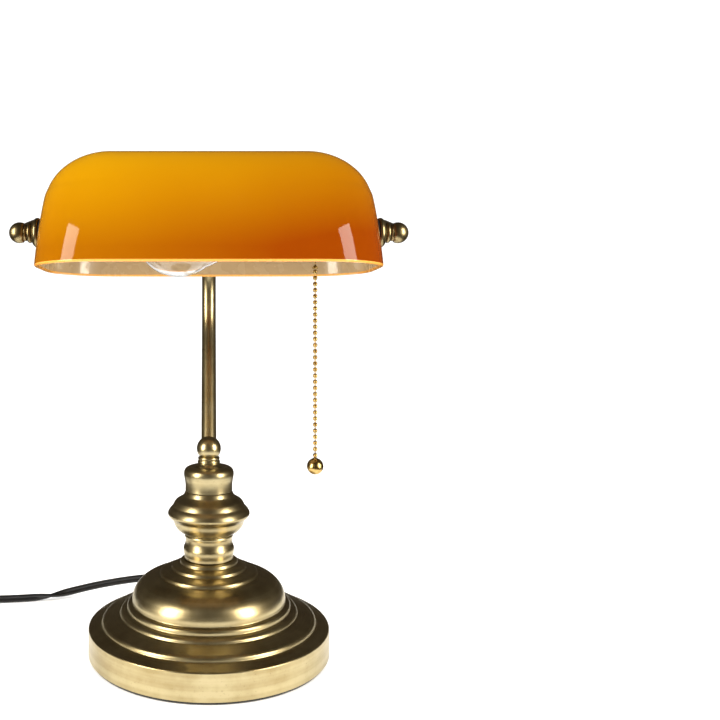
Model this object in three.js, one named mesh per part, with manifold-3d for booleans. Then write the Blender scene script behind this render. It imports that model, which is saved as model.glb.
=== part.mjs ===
// Banker's desk lamp with a cased-glass shade, a gooseneck arm and a pull-chain socket.
// Millimetres, +Z up. The origin is the centre of the base's underside, and -Y is the front.
import * as THREE from "three";
import { mergeVertices } from "three/addons/utils/BufferGeometryUtils.js";
import Module from "manifold-3d";

const wasm = await Module();
wasm.setup();

// Driving dimensions
const BASE_R = 90; // plinth radius
const FELT_T = 2; // felt thickness
const ROD_R = 4.9; // hollow M10 rod that clamps the stack
const ROD_BORE = 3.2;
const BORE_R = 5.3; // hole in every piece on the rod
const GAP = 0.3; // clearance between touching pieces
const NECK_BALL_Z = 152.8;
const NECK_BALL_R = 9.1;
const ARM_R = 5.7; // gooseneck tube
const ARM_LEAN = THREE.MathUtils.degToRad(33.8); // backwards, where it leaves the neck ball
const ARM_STRAIGHT = 98; // from the ball's centre to the bend
const ARM_BEND_R = 56;
const YOKE_R = 4.75; // fork tube
const YOKE_CORNER_R = 17;
const YOKE_BACK_Y = -2.8;
const PIVOT = new THREE.Vector3(0, -68.4, 311.6); // middle of the shade's tilt axis
const PIVOT_BALL_X = 128.3;
const PIVOT_BALL_R = 7.15;
const NIPPLE_R = 3.9;
const NIPPLE_BORE = 2.6;
const SHADE_TILT = THREE.MathUtils.degToRad(3.8); // front edge up, as it hangs at rest
const SHADE_HALF_LENGTH = 114.2;
const SHADE_HALF_DEPTH = 64.5;
const SHADE_HEIGHT = 80.2;
const SHADE_RIM_Z = -25.4; // below the tilt axis
const SHADE_SHIFT_Y = -1.2;
const GLASS_T = 3;
const CHAIN_X = 72.2;
const CHAIN_TOP_Z = 290.6;
const BEAD_R = 1.6;
const BEAD_PITCH = 4.15;
const BEADS = 31;
const CHAIN_BALL_R = 5.6;
const LEAD_W = 6.4; // flat twin lead, standing on its edge
const LEAD_T = 3;

const BRASS = { color: 0x9c8452, roughness: 0.36, metalness: 1 };
const DARK_BRASS = { color: 0x6f5c36, roughness: 0.4, metalness: 1 };
const GOLD = { color: 0xb98f3c, roughness: 0.3, metalness: 1 };
const STEEL = { color: 0xa9abad, roughness: 0.4, metalness: 1 };
const IRON = { color: 0x3b3b3d, roughness: 0.8, metalness: 0.6 };
const BLACK = { color: 0x131313, roughness: 0.55, metalness: 0 };
const FELT = { color: 0x0d0d0d, roughness: 0.98, metalness: 0 };
const AMBER = { color: 0xd98a0a, roughness: 0.08, metalness: 0 };
const CLEAR = { color: 0xf4f6f6, roughness: 0.03, metalness: 0 };
const CARD = { color: 0xa88b62, roughness: 0.9, metalness: 0 };
const BAKELITE = { color: 0x2a1c14, roughness: 0.4, metalness: 0 };

const lamp = new THREE.Group();
const v = (x, y, z) => new THREE.Vector3(x, y, z);

// Flips the faces when they point inwards.
function facingOut(geometry) {
  const p = geometry.attributes.position;
  const index = geometry.index.array;
  const [a, b, c] = [v(), v(), v()];
  let volume = 0;
  for (let i = 0; i < index.length; i += 3) {
    a.fromBufferAttribute(p, index[i]);
    b.fromBufferAttribute(p, index[i + 1]);
    c.fromBufferAttribute(p, index[i + 2]);
    volume += a.dot(b.cross(c));
  }
  if (volume < 0) {
    for (let i = 0; i < index.length; i += 3) {
      [index[i], index[i + 1]] = [index[i + 1], index[i]];
    }
  }
  return geometry;
}

// Welds a geometry into a closed mesh with no collapsed triangles.
function welded(geometry) {
  const bare = geometry.clone();
  bare.deleteAttribute("normal");
  bare.deleteAttribute("uv");
  const merged = mergeVertices(bare, 1e-4);
  const old = merged.index.array;
  const kept = [];
  for (let i = 0; i < old.length; i += 3) {
    const [a, b, c] = [old[i], old[i + 1], old[i + 2]];
    if (a !== b && b !== c && c !== a) {
      kept.push(a, b, c);
    }
  }
  merged.setIndex(kept);
  return facingOut(merged);
}

function toSolid(geometry) {
  const mesh = welded(geometry);
  const vertProperties = new Float32Array(mesh.attributes.position.array);
  const triVerts = new Uint32Array(mesh.index.array);
  return new wasm.Manifold(new wasm.Mesh({ numProp: 3, vertProperties, triVerts }));
}

function fromSolid(solid) {
  const mesh = solid.getMesh();
  const geometry = new THREE.BufferGeometry();
  geometry.setAttribute("position", new THREE.BufferAttribute(mesh.vertProperties, 3));
  geometry.setIndex(new THREE.BufferAttribute(mesh.triVerts, 1));
  return geometry;
}

// The first geometry with every other one cut out of it.
function cut(geometry, ...tools) {
  let solid = toSolid(geometry);
  for (const tool of tools) {
    solid = solid.subtract(toSolid(tool));
  }
  return fromSolid(solid);
}

function join(geometry, ...others) {
  let solid = toSolid(geometry);
  for (const other of others) {
    solid = solid.add(toSolid(other));
  }
  return fromSolid(solid);
}

// A mesh in its own node, added to the lamp.
function part(name, geometry, look, parent = lamp) {
  const mesh = new THREE.Mesh(welded(geometry), new THREE.MeshStandardMaterial(look));
  mesh.name = name;
  parent.add(mesh);
  return mesh;
}

// Turned pieces: [radius, height] pairs about Z, or [radius, x] pairs about X.
function turned(profile, segments = 20) {
  const points = profile.map(([r, h]) => new THREE.Vector2(r, h));
  return new THREE.LatheGeometry(points, segments).rotateX(Math.PI / 2);
}

function turnedX(profile, segments = 16) {
  const points = profile.map(([r, h]) => new THREE.Vector2(r, h));
  return new THREE.LatheGeometry(points, segments).rotateZ(-Math.PI / 2);
}

function closed(profile) {
  return [...profile, profile[0]];
}

function ringProfile(inner, outer, low, high) {
  return closed([[inner, low], [outer, low], [outer, high], [inner, high]]);
}

function rod(radius, length, segments = 14) {
  return new THREE.CylinderGeometry(radius, radius, length, segments);
}

function rodX(radius, low, high, segments = 14) {
  return rod(radius, high - low, segments).rotateZ(Math.PI / 2).translate((low + high) / 2, 0, 0);
}

function block(x, y, z, cx, cy, cz) {
  return new THREE.BoxGeometry(x, y, z).translate(cx, cy, cz);
}

function hexNut(across, hole, thickness) {
  const outline = new THREE.Shape();
  const radius = across / Math.sqrt(3);
  for (let i = 0; i < 6; i += 1) {
    const turn = (i * Math.PI) / 3;
    outline[i ? "lineTo" : "moveTo"](radius * Math.cos(turn), radius * Math.sin(turn));
  }
  outline.closePath();
  outline.holes.push(new THREE.Path().absarc(0, 0, hole, 0, 2 * Math.PI, true));
  return new THREE.ExtrudeGeometry(outline, { depth: thickness, bevelEnabled: false, curveSegments: 5 });
}

function disc(radius, sides, hole = 0) {
  const shape = new THREE.Shape();
  for (let i = 0; i < sides; i += 1) {
    const turn = ((i + 0.5) * 2 * Math.PI) / sides;
    shape[i ? "lineTo" : "moveTo"](radius * Math.cos(turn), radius * Math.sin(turn));
  }
  shape.closePath();
  if (hole) {
    const path = new THREE.Path();
    for (let i = 0; i < sides; i += 1) {
      const turn = (-(i + 0.5) * 2 * Math.PI) / sides;
      path[i ? "lineTo" : "moveTo"](hole * Math.cos(turn), hole * Math.sin(turn));
    }
    path.closePath();
    shape.holes.push(path);
  }
  return shape;
}

function sweep(shape, curve, steps) {
  return new THREE.ExtrudeGeometry(shape, { extrudePath: curve, steps, bevelEnabled: false });
}

// Straight runs through the given corners, each corner rounded by a quadratic curve.
function roundedPath(points, reach) {
  const path = new THREE.CurvePath();
  let from = points[0];
  for (let i = 1; i < points.length - 1; i += 1) {
    const before = points[i].clone().sub(points[i - 1]).setLength(reach);
    const after = points[i + 1].clone().sub(points[i]).setLength(reach);
    const enter = points[i].clone().sub(before);
    const leave = points[i].clone().add(after);
    path.add(new THREE.LineCurve3(from, enter));
    path.add(new THREE.QuadraticBezierCurve3(enter, points[i], leave));
    from = leave;
  }
  path.add(new THREE.LineCurve3(from, points[points.length - 1]));
  return path;
}

// ---- Base ---------------------------------------------------------------------------------

const SHELL_FOOT_Z = FELT_T + GAP;
const DOME = { r: 36.5, z: 41, a: 21, b: 17.4 }; // quarter ellipse of the dome, from its foot up

function domeArc(shrink, from, to, steps) {
  const points = [];
  for (let i = 0; i <= steps; i += 1) {
    const turn = THREE.MathUtils.degToRad(from + ((to - from) * i) / steps);
    const [a, b] = [DOME.a - shrink, DOME.b - shrink];
    points.push([DOME.r + a * Math.cos(turn), DOME.z + b * Math.sin(turn)]);
  }
  return points;
}

const shellOutside = [
  [BASE_R, SHELL_FOOT_Z], [BASE_R, 21.3], [89.4, 21.9], [80.2, 24.4],
  [79.8, 26.6], [78, 27.9], [66.6, 31], [66.3, 32.5], [64.8, 33.8], [61.4, 34.6],
  [61.2, 37], [60.2, 38.2], [57.6, 38.9],
  ...domeArc(0, -4, 80, 6),
  [36.6, 60.8], [32, 62.2], [28.2, 63.2], [27.6, 65.4], [21.8, 67.3], [21.4, 69.3], [20.2, 70.2],
];
const shellInside = [
  [BORE_R, 70.2], [BORE_R, 67.6], [19, 66.4], [34, 59],
  ...domeArc(1.7, 74, 4, 4),
  [55.6, 37.2], [64.6, 29.4], [78.4, 22.8], [88.4, 20.2], [88.4, SHELL_FOOT_Z],
];

const EXIT_TURN = THREE.MathUtils.degToRad(103); // where the lead leaves the plinth, from +X
const EXIT_Z = 11.5;
const exitFrame = new THREE.Matrix4()
  .makeTranslation(BASE_R * Math.cos(EXIT_TURN), BASE_R * Math.sin(EXIT_TURN), EXIT_Z)
  .multiply(new THREE.Matrix4().makeRotationZ(EXIT_TURN)); // +X points out of the plinth

const FELT_R = BASE_R - 1.5;
const DISC_R = 87;
const DISC_TOP_Z = 3.2;
part("felt_pad", rod(FELT_R, FELT_T, 36).rotateX(Math.PI / 2).translate(0, 0, FELT_T / 2), FELT);
part(
  "bottom_disc",
  turned([[0, SHELL_FOOT_Z], [DISC_R, SHELL_FOOT_Z], [DISC_R, DISC_TOP_Z], [0, DISC_TOP_Z]], 30),
  STEEL,
);
part(
  "base_shell",
  cut(
    turned(closed([...shellOutside, ...shellInside]), 30),
    rodX(5.8, -8, 8).applyMatrix4(exitFrame),
  ),
  BRASS,
);
const leadChannel = block(86, 15, 19, 53, 0, 10).rotateZ(EXIT_TURN); // from the nut to the rim
part(
  "base_weight",
  cut(
    turned(closed([
      [14, 3.6], [83, 3.6], [83, 18.6], [62, 26], [BORE_R, 26], [BORE_R, 12.2], [14, 12.2],
    ]), 24),
    leadChannel,
  ),
  IRON,
);
part("base_washer", turned(ringProfile(BORE_R, 13, 10.2, 11.9), 14), STEEL);
part("base_nut", hexNut(17, BORE_R, 5.4).translate(0, 0, 4.5), STEEL);
part("threaded_rod", turned(ringProfile(ROD_BORE, ROD_R, 4.4, 146), 12), STEEL);

// ---- Column -------------------------------------------------------------------------------

part(
  "lower_stem",
  turned(closed([
    [16.4, 70.6], [18.3, 70.6], [18.3, 72.6], [18.8, 74.6], [19.2, 76.8], [19.1, 79], [18, 81.2],
    [17.6, 83.5], [17.7, 86], [18.3, 87.2], [18.2, 88.4], [17.6, 89.2],
    [BORE_R, 89.2], [BORE_R, 87.2], [15.6, 87.2], [15.8, 82],
  ])),
  BRASS,
);
part(
  "stem_bell",
  turned(closed([
    [18.2, 89.6], [19.4, 89.9], [23.2, 92.1], [25.8, 95.6], [26.7, 98.6], [27.3, 100], [29.4, 101.6],
    [30.7, 103.4], [30.9, 105], [29.4, 107.8], [27.3, 109.8], [26.3, 112], [25, 114], [21.6, 116],
    [19.2, 117.5], [18.4, 119.3], [17.5, 121],
    [BORE_R, 121], [BORE_R, 119], [16, 119], [19, 114.6], [24, 111.4], [28.6, 105],
    [25, 100.4], [21.6, 93.4], [18, 91.6], [BORE_R, 91.6], [BORE_R, 89.6],
  ])),
  BRASS,
);
part(
  "stem_collar",
  turned(closed([
    [15.8, 121.4], [17.7, 121.4], [17.6, 125], [17.9, 128.5], [18.5, 131.3], [18.9, 134], [18.6, 136.3],
    [17.2, 138.3], [14.5, 139.4],
    [BORE_R, 139.4], [BORE_R, 137.4], [14, 137.4], [16.8, 134.6], [16, 128.5],
  ])),
  BRASS,
);
part(
  "neck_rings",
  turned(closed([
    [BORE_R, 139.7], [10.6, 139.7], [9.2, 140.8], [8.2, 141.8], [8.6, 142.6], [8.3, 143.6],
    [7.7, 144.5], [8.3, 145.4], [7.9, 146.4], [6.9, 146.9], [BORE_R, 146.9],
  ]), 16),
  BRASS,
);

// ---- Neck ball, gooseneck and fork ---------------------------------------------------------

const ARM_BEND_LENGTH = ARM_BEND_R * (ARM_LEAN + Math.PI / 2); // until it runs level, forwards
const ARM_LEVEL = 9; // level run into the fork's back bar

// The arm's centreline, between two distances from the neck ball's centre.
class ArmCurve extends THREE.Curve {
  constructor(from, to) {
    super();
    this.from = from;
    this.to = to;
  }

  getPoint(t, target = v()) {
    const s = this.from + (this.to - this.from) * t;
    const straight = Math.min(s, ARM_STRAIGHT);
    const turn = Math.min(Math.max(0, s - ARM_STRAIGHT) / ARM_BEND_R, ARM_LEAN + Math.PI / 2);
    const level = Math.max(0, s - ARM_STRAIGHT - ARM_BEND_LENGTH);
    const back = ARM_BEND_R * (Math.cos(ARM_LEAN - turn) - Math.cos(ARM_LEAN));
    const up = ARM_BEND_R * (Math.sin(ARM_LEAN) - Math.sin(ARM_LEAN - turn));
    const y = straight * Math.sin(ARM_LEAN) + back - level;
    const z = straight * Math.cos(ARM_LEAN) + up;
    return target.set(0, y, NECK_BALL_Z + z);
  }
}

const ARM_LENGTH = ARM_STRAIGHT + ARM_BEND_LENGTH + ARM_LEVEL;
const armEnd = new ArmCurve(0, ARM_LENGTH).getPoint(1);
const yokeBack = v(0, YOKE_BACK_Y, armEnd.z);

const armSocket = rod(ARM_R + GAP, 14, 12)
  .translate(0, 2.5 + 7, 0)
  .rotateX(Math.PI / 2 - ARM_LEAN)
  .translate(0, 0, NECK_BALL_Z);
part(
  "neck_ball",
  cut(
    new THREE.SphereGeometry(NECK_BALL_R, 14, 9).rotateX(Math.PI / 2).translate(0, 0, NECK_BALL_Z),
    block(30, 30, 10, 0, 0, 147.2 - 5),
    rod(ROD_BORE, 12, 8).rotateX(Math.PI / 2).translate(0, 0, NECK_BALL_Z - 3.5),
    armSocket,
  ),
  BRASS,
);

const backBar = rodX(YOKE_R + GAP, -30, 30, 16).translate(0, yokeBack.y, yokeBack.z);
part(
  "arm_tube",
  cut(sweep(disc(ARM_R, 9, 4.3), new ArmCurve(2.8, ARM_LENGTH), 21), backBar),
  BRASS,
);
part(
  "arm_sleeve",
  cut(
    turned(ringProfile(ARM_R + 2 * GAP, 7.9, 0, 9.5), 12).rotateX(Math.PI / 2).translate(0, 9, armEnd.z),
    backBar,
  ),
  DARK_BRASS,
);

const armDrop = Math.atan2(yokeBack.z - PIVOT.z, YOKE_BACK_Y - PIVOT.y);
const yokeForward = v(0, -Math.cos(armDrop), -Math.sin(armDrop));
const yokeTip = (side) => v(side * PIVOT_BALL_X, PIVOT.y, PIVOT.z).addScaledVector(yokeForward, -4.3);
const yokeCorner = (side) => v(side * PIVOT_BALL_X, yokeBack.y, yokeBack.z);
const yokePath = roundedPath([yokeTip(-1), yokeCorner(-1), yokeCorner(1), yokeTip(1)], YOKE_CORNER_R);
part("yoke_tube", sweep(disc(YOKE_R, 8, 3.4), yokePath, 40), BRASS);

// ---- Pivot fittings, one set at each end of the shade ---------------------------------------

const WASHER_R = 8.8;
const NUT_T = 2.2;
const NUT_FACE_X = 106.2; // the nuts' outer faces
const pivots = new THREE.Group();
pivots.position.copy(PIVOT);
lamp.add(pivots);

// The end ball is cut off short on its inner side, where a small ring joins it to the stack.
const BALL_CUT = 2.7; // from the ball's centre
const ballNeck = [[0, 123.4], [5.6, 123.4], [5.9, 124.2], [5.6, 125.1], [5.3, PIVOT_BALL_X - BALL_CUT]];
const ballRound = [];
for (let i = 0; i <= 7; i += 1) {
  const low = -Math.asin(BALL_CUT / PIVOT_BALL_R);
  const turn = low + ((Math.PI / 2 - low) * i) / 7;
  ballRound.push([PIVOT_BALL_R * Math.cos(turn), PIVOT_BALL_X + PIVOT_BALL_R * Math.sin(turn)]);
}
ballRound[7][0] = 0;

for (const [side, label] of [[-1, "left"], [1, "right"]]) {
  const mirrored = (profile) => profile.map(([r, x]) => [r, side * x]);
  const armBore = rod(YOKE_R + GAP, 12, 12)
    .translate(0, 3.9 + 6, 0)
    .rotateX(armDrop)
    .translate(side * PIVOT_BALL_X, 0, 0);
  const nippleBore = rodX(NIPPLE_R + GAP, -8, 8, 12).translate(side * (PIVOT_BALL_X - 6.2), 0, 0);
  part(
    `pivot_ball_${label}`,
    cut(turnedX(mirrored([...ballNeck, ...ballRound])), nippleBore, armBore),
    DARK_BRASS,
    pivots,
  );
  part(
    `ring_spacer_${label}`,
    turnedX(mirrored(closed([
      [NIPPLE_R + GAP, 120], [6.6, 120], [7.1, 120.9], [6.9, 122], [6, 122.8], [5.4, 123.1],
      [NIPPLE_R + GAP, 123.1],
    ])), 14),
    DARK_BRASS,
    pivots,
  );
  part(
    `flange_${label}`,
    turnedX(mirrored(closed([
      [NIPPLE_R + GAP, 115.2], [10, 115.2], [10.2, 116.2], [9.9, 117.4], [8.6, 118.8], [7.2, 119.4],
      [6.4, 119.7], [NIPPLE_R + GAP, 119.7],
    ])), 16),
    DARK_BRASS,
    pivots,
  );
  const outerWasher = mirrored(ringProfile(NIPPLE_R + GAP, WASHER_R, 113.1, 114.9));
  part(`outer_washer_${label}`, turnedX(outerWasher, 12), BLACK, pivots);
  const nipple = mirrored(ringProfile(NIPPLE_BORE, NIPPLE_R, side < 0 ? 102.5 : 97.5, 129));
  part(`nipple_${label}`, turnedX(nipple, 10), STEEL, pivots);
  const innerWasher = mirrored(ringProfile(NIPPLE_R + GAP, WASHER_R, NUT_FACE_X + 0.4, 107.9));
  part(`inner_washer_${label}`, turnedX(innerWasher, 12), STEEL, pivots);
  const nut = hexNut(12, NIPPLE_R + GAP, NUT_T)
    .rotateY(Math.PI / 2)
    .translate(side < 0 ? -NUT_FACE_X : NUT_FACE_X - NUT_T, 0, 0);
  part(`inner_nut_${label}`, nut, STEEL, pivots);
}

// ---- Shade --------------------------------------------------------------------------------

const SHADE_CORNER_R = 48;
const END_ROUND_X = 41.6; // crown corners, seen from the front
const END_ROUND_S = 0.42; // and the share of the height that they take
const END_SLOPE = 6.9; // the ends lean in by this much over the full height

// Half length, half depth and corner radius of the plan section at height share s.
function shadeSection(s, inset) {
  const rise = Math.max(0, (s - (1 - END_ROUND_S)) / END_ROUND_S);
  const round = END_ROUND_X * (1 - Math.sqrt(Math.max(0, 1 - rise * rise)));
  const length = SHADE_HALF_LENGTH - END_SLOPE * s - round - inset;
  const depth = (SHADE_HALF_DEPTH - inset) * Math.sqrt(Math.max(0, 1 - s * s));
  return { length, depth, corner: Math.min(SHADE_CORNER_R - inset, depth) };
}

// One closed ring of points round the plan section, the same number at every height.
function shadeRing(s, inset) {
  const { length, depth, corner } = shadeSection(s, inset);
  const z = SHADE_RIM_Z + s * (SHADE_HEIGHT - inset);
  const ring = [];
  const LONG_STEPS = 2;
  const ARC_STEPS = 4;
  const END_STEPS = 1;
  for (const [sx, sy] of [[1, -1], [1, 1], [-1, 1], [-1, -1]]) {
    const start = Math.atan2(sy, sx) - Math.PI / 4;
    const along = sx === sy ? LONG_STEPS : END_STEPS;
    for (let i = 0; i <= ARC_STEPS; i += 1) {
      const turn = start + (i / ARC_STEPS) * (Math.PI / 2);
      const x = sx * (length - corner) + corner * Math.cos(turn);
      const y = sy * (depth - corner) + corner * Math.sin(turn);
      ring.push([x, y + SHADE_SHIFT_Y, z]);
    }
    const [x0, y0] = ring[ring.length - 1];
    const vertical = sx !== sy;
    const x1 = vertical ? x0 : -x0;
    const y1 = vertical ? 2 * SHADE_SHIFT_Y - y0 : y0;
    for (let i = 1; i < along; i += 1) {
      const t = i / along;
      ring.push([x0 + (x1 - x0) * t, y0 + (y1 - y0) * t, z]);
    }
  }
  return ring;
}

function shadeGeometry() {
  const LEVELS = 9;
  const share = (k) => Math.sin((k / LEVELS) * (Math.PI / 2));
  const rings = [];
  for (let k = LEVELS; k >= 0; k -= 1) {
    rings.push(shadeRing(share(k), 0));
  }
  for (let k = 0; k <= LEVELS; k += 1) {
    rings.push(shadeRing(share(k), GLASS_T));
  }
  const count = rings[0].length;
  const positions = rings.flat(2);
  const index = [];
  for (let r = 0; r < rings.length - 1; r += 1) {
    for (let i = 0; i < count; i += 1) {
      const j = (i + 1) % count;
      const [a, b, c, d] = [r * count + i, r * count + j, (r + 1) * count + j, (r + 1) * count + i];
      index.push(a, b, c, a, c, d);
    }
  }
  const geometry = new THREE.BufferGeometry();
  geometry.setAttribute("position", new THREE.Float32BufferAttribute(positions, 3));
  geometry.setIndex(index);
  return geometry;
}

const tilted = new THREE.Group();
tilted.position.copy(PIVOT);
tilted.rotation.x = -SHADE_TILT;
lamp.add(tilted);
part("shade", cut(shadeGeometry(), rodX(NIPPLE_R + 0.7, -130, 130, 20)), AMBER, tilted);

// ---- Socket, held by the right-hand nipple ---------------------------------------------------

const GUIDE_HOLE_R = 3.1;
const guideHole = (radius) => rod(radius, 12, 10).rotateX(Math.PI / 2).translate(CHAIN_X, 0, -15);
part(
  "socket_cap",
  turnedX(closed([
    [17, 84.4], [17, 89], [15.4, 94.5], [11.5, 99], [8, 101.4], [6.6, 102.4], [6.6, 103.6], [4.3, 103.6],
    [4.3, 100.6], [7.4, 99.6], [10.6, 97.6], [14.3, 93.6], [15.9, 88.8], [15.9, 84.4],
  ])),
  BRASS,
  pivots,
);
part(
  "socket_shell",
  cut(
    turnedX(closed([
      [15.7, 33.2], [16.5, 33.2], [16.8, 34], [16.5, 34.8], [16.2, 35.6], [16.2, 84], [15.7, 84],
    ])),
    guideHole(GUIDE_HOLE_R),
  ),
  BRASS,
  pivots,
);
part(
  "socket_liner",
  cut(turnedX(ringProfile(14.9, 15.4, 34.4, 83.4), 24), guideHole(GUIDE_HOLE_R)),
  CARD,
  pivots,
);
part(
  "socket_interior",
  cut(
    turnedX([[0, 56.2], [14.4, 56.2], [14.4, 82], [0, 82]], 24),
    block(8, 13, 26, CHAIN_X, 0, -7),
  ),
  BAKELITE,
  pivots,
);
part(
  "screw_sleeve",
  turnedX(closed([[13.6, 35.2], [14.1, 35.2], [14.1, 55.6], [6.6, 55.6], [6.6, 55.1], [13.6, 55.1]]), 24),
  GOLD,
  pivots,
);
part("centre_contact", block(0.7, 9, 4, 55.2, 0, 0), GOLD, pivots);
for (const [side, label] of [[-1, "front"], [1, "back"]]) {
  part(`terminal_screw_${label}`, rodX(2.4, 82.3, 84.6, 14).translate(0, side * 9.4, 2), GOLD, pivots);
}
part("switch_cam", rodX(5, CHAIN_X - 3, CHAIN_X + 3, 18).translate(0, 0, -0.5), BAKELITE, pivots);
const GUIDE_TOP = 295.6 - PIVOT.z;
const GUIDE_BOTTOM = CHAIN_TOP_Z + 1 - PIVOT.z;
part(
  "chain_guide",
  turned(closed([
    [1.9, GUIDE_TOP + 2.4], [2.8, GUIDE_TOP + 2.4], [2.8, GUIDE_TOP - 0.2], [4.2, GUIDE_TOP - 0.6],
    [4.2, GUIDE_TOP - 1.2], [3, GUIDE_TOP - 1.8], [3.6, GUIDE_BOTTOM + 0.6], [3.6, GUIDE_BOTTOM],
    [2.7, GUIDE_BOTTOM], [1.9, GUIDE_TOP - 1.4],
  ]), 12).translate(CHAIN_X, 0, 0),
  DARK_BRASS,
  pivots,
);

// ---- Bulb ---------------------------------------------------------------------------------

const BULB_X = -20.5;
const BULB_R = 30;

// Half of the glass outline, from its tip to the neck.
function bulbOutline(inset) {
  const points = [];
  for (let i = 0; i <= 8; i += 1) {
    const turn = Math.PI - (i / 8) * THREE.MathUtils.degToRad(128);
    points.push([(BULB_R - inset) * Math.sin(turn), BULB_X + (BULB_R - inset) * Math.cos(turn)]);
  }
  points[0][0] = 0;
  return [...points, [20.4 - inset, 5.2], [16.6 - inset, 12.5], [14.2 - inset, 20], [12.9 - inset, 29]];
}

part("bulb_glass", turnedX([...bulbOutline(0), ...bulbOutline(0.8).reverse()], 16), CLEAR, pivots);
const threads = [];
for (let i = 0; i < 4; i += 1) {
  threads.push([13.1, 34 + 4.2 * i], [12.2, 36.1 + 4.2 * i]);
}
part(
  "bulb_cap",
  turnedX(closed([[12.9, 29.4], [13, 31.6], ...threads, [9.4, 51.6], [8.4, 51.6], [11, 49], [12, 29.4]]), 14),
  STEEL,
  pivots,
);
part("bulb_insulator", turnedX([[0, 51], [8.1, 51], [8.1, 52], [5.2, 53.4], [0, 53.4]], 20), BLACK, pivots);
part("bulb_contact", turnedX([[0, 53.7], [4.4, 53.7], [3.4, 54.5], [0, 54.5]], 16), STEEL, pivots);
part(
  "bulb_stem",
  turnedX([[0, 27], [8, 27], [4, 20], [2.6, 8], [3, 0], [3.4, -4], [2.4, -7], [0, -8]], 14),
  CLEAR,
  pivots,
);
const filamentPath = new THREE.CatmullRomCurve3([
  v(-8.6, -1.2, 0), v(-16, -5, 3), v(-27, -9, 7), v(-30, -4, 9), v(-27, 0, 8), v(-30, 4, 9), v(-27, 9, 7),
  v(-16, 5, 3), v(-8.6, 1.2, 0),
]);
part("bulb_filament", sweep(disc(0.35, 6), filamentPath, 20), STEEL, pivots);

// ---- Pull chain ---------------------------------------------------------------------------

const chain = new THREE.Group();
chain.position.set(CHAIN_X, PIVOT.y, 0);
lamp.add(chain);

part(
  "pull_link",
  turned([[0, 290.4], [1.5, 290.4], [1.5, 304.2], [0, 304.2]], 12),
  GOLD,
  chain,
);
part(
  "chain_coupling",
  turned([[0, 287], [1.7, 287.2], [2, 288], [1.7, 288.6], [0.4, 289.6], [0, 290.1]], 12),
  GOLD,
  chain,
);

const FIRST_BEAD_Z = 285.1;
const WIRE_R = 0.5; // the links between the beads
const beadProfile = [[0, FIRST_BEAD_Z + BEAD_R]];
for (let i = 0; i < BEADS; i += 1) {
  const z = FIRST_BEAD_Z - i * BEAD_PITCH;
  beadProfile.push([WIRE_R, z + 1.5], [BEAD_R, z], [WIRE_R, z - 1.5]);
}
const chainEnd = FIRST_BEAD_Z - BEADS * BEAD_PITCH + 2.6;
beadProfile.push([WIRE_R, chainEnd], [0, chainEnd]);
part("bead_chain", turned(beadProfile, 6), GOLD, chain);
part(
  "chain_ball",
  new THREE.SphereGeometry(CHAIN_BALL_R, 12, 8)
    .rotateX(Math.PI / 2)
    .translate(0, 0, chainEnd - GAP - CHAIN_BALL_R),
  GOLD,
  chain,
);

// ---- Wiring inside the lamp ------------------------------------------------------------------

const leadInBase = new THREE.CatmullRomCurve3([
  v(70, 0, EXIT_Z), v(50, 0, 8.4), v(28, 0, 6), v(17, 0, 5),
]).getPoints(10).map((p) => p.applyAxisAngle(v(0, 0, 1), EXIT_TURN));
part("lead_in_base", sweep(disc(1.7, 8), new THREE.CatmullRomCurve3(leadInBase), 10), BLACK);
part("lead_in_rod", rod(1.7, 138, 8).rotateX(Math.PI / 2).translate(0, 0, 5 + 69), BLACK);
part("lead_in_arm", sweep(disc(1.7, 8), new ArmCurve(10.5, ARM_LENGTH - 12), 14), BLACK);

// ---- Supply lead: strain relief, flat lead, coil, tie and plug ---------------------------------

const relief = new THREE.Group();
relief.applyMatrix4(exitFrame);
lamp.add(relief);
part(
  "strain_relief",
  turnedX(closed([
    [3.6, -4], [7.2, -4], [7.2, -2.5], [5.1, -2.5], [5.1, 0.5], [7, 0.7], [7, 2.2], [5.4, 3.4], [4.9, 12],
    [4.4, 26], [3.6, 26],
  ]), 14),
  BLACK,
  relief,
);

const RELIEF_END = 26 + GAP;
const COIL = { x: -236, y: 62, inner: 27, outer: 41.4, low: 0.8, high: 14.1 };
const reliefPoint = (d, z) => {
  const r = BASE_R + d;
  return v(r * Math.cos(EXIT_TURN), r * Math.sin(EXIT_TURN), z);
};
const leadRoute = [
  reliefPoint(RELIEF_END, 11.5), reliefPoint(RELIEF_END + 7, 11.9), v(-32, 129.5, 12.2), v(-42, 133, 12.1),
  v(-54, 133, 11.8), v(-68, 130.5, 11.2), v(-82, 127, 10.3), v(-97, 122.6, 9), v(-111, 118.2, 7.3),
  v(-124, 114, 5.4), v(-137, 109.6, 3.9), v(-150, 106.3, 3.4), v(-165, 103.6, 3.3), v(-182, 101.9, 3.3),
  v(-200, 101, 3.5), v(-218, COIL.y + 39.6, 4), v(COIL.x + 12, COIL.y + 39.6, 4.1),
];
const leadSection = new THREE.Shape();
for (let i = 0; i < 10; i += 1) {
  const turn = ((i + 0.5) * 2 * Math.PI) / 10;
  const [x, y] = [(LEAD_W / 2) * Math.cos(turn), (LEAD_T / 2) * Math.sin(turn)];
  leadSection[i ? "lineTo" : "moveTo"](x, y);
}
leadSection.closePath();
const sweptLead = (points, steps) => sweep(
  leadSection, new THREE.CatmullRomCurve3(points, false, "centripetal"), steps,
);
part("lead", sweptLead(leadRoute, 24), BLACK);

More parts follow.
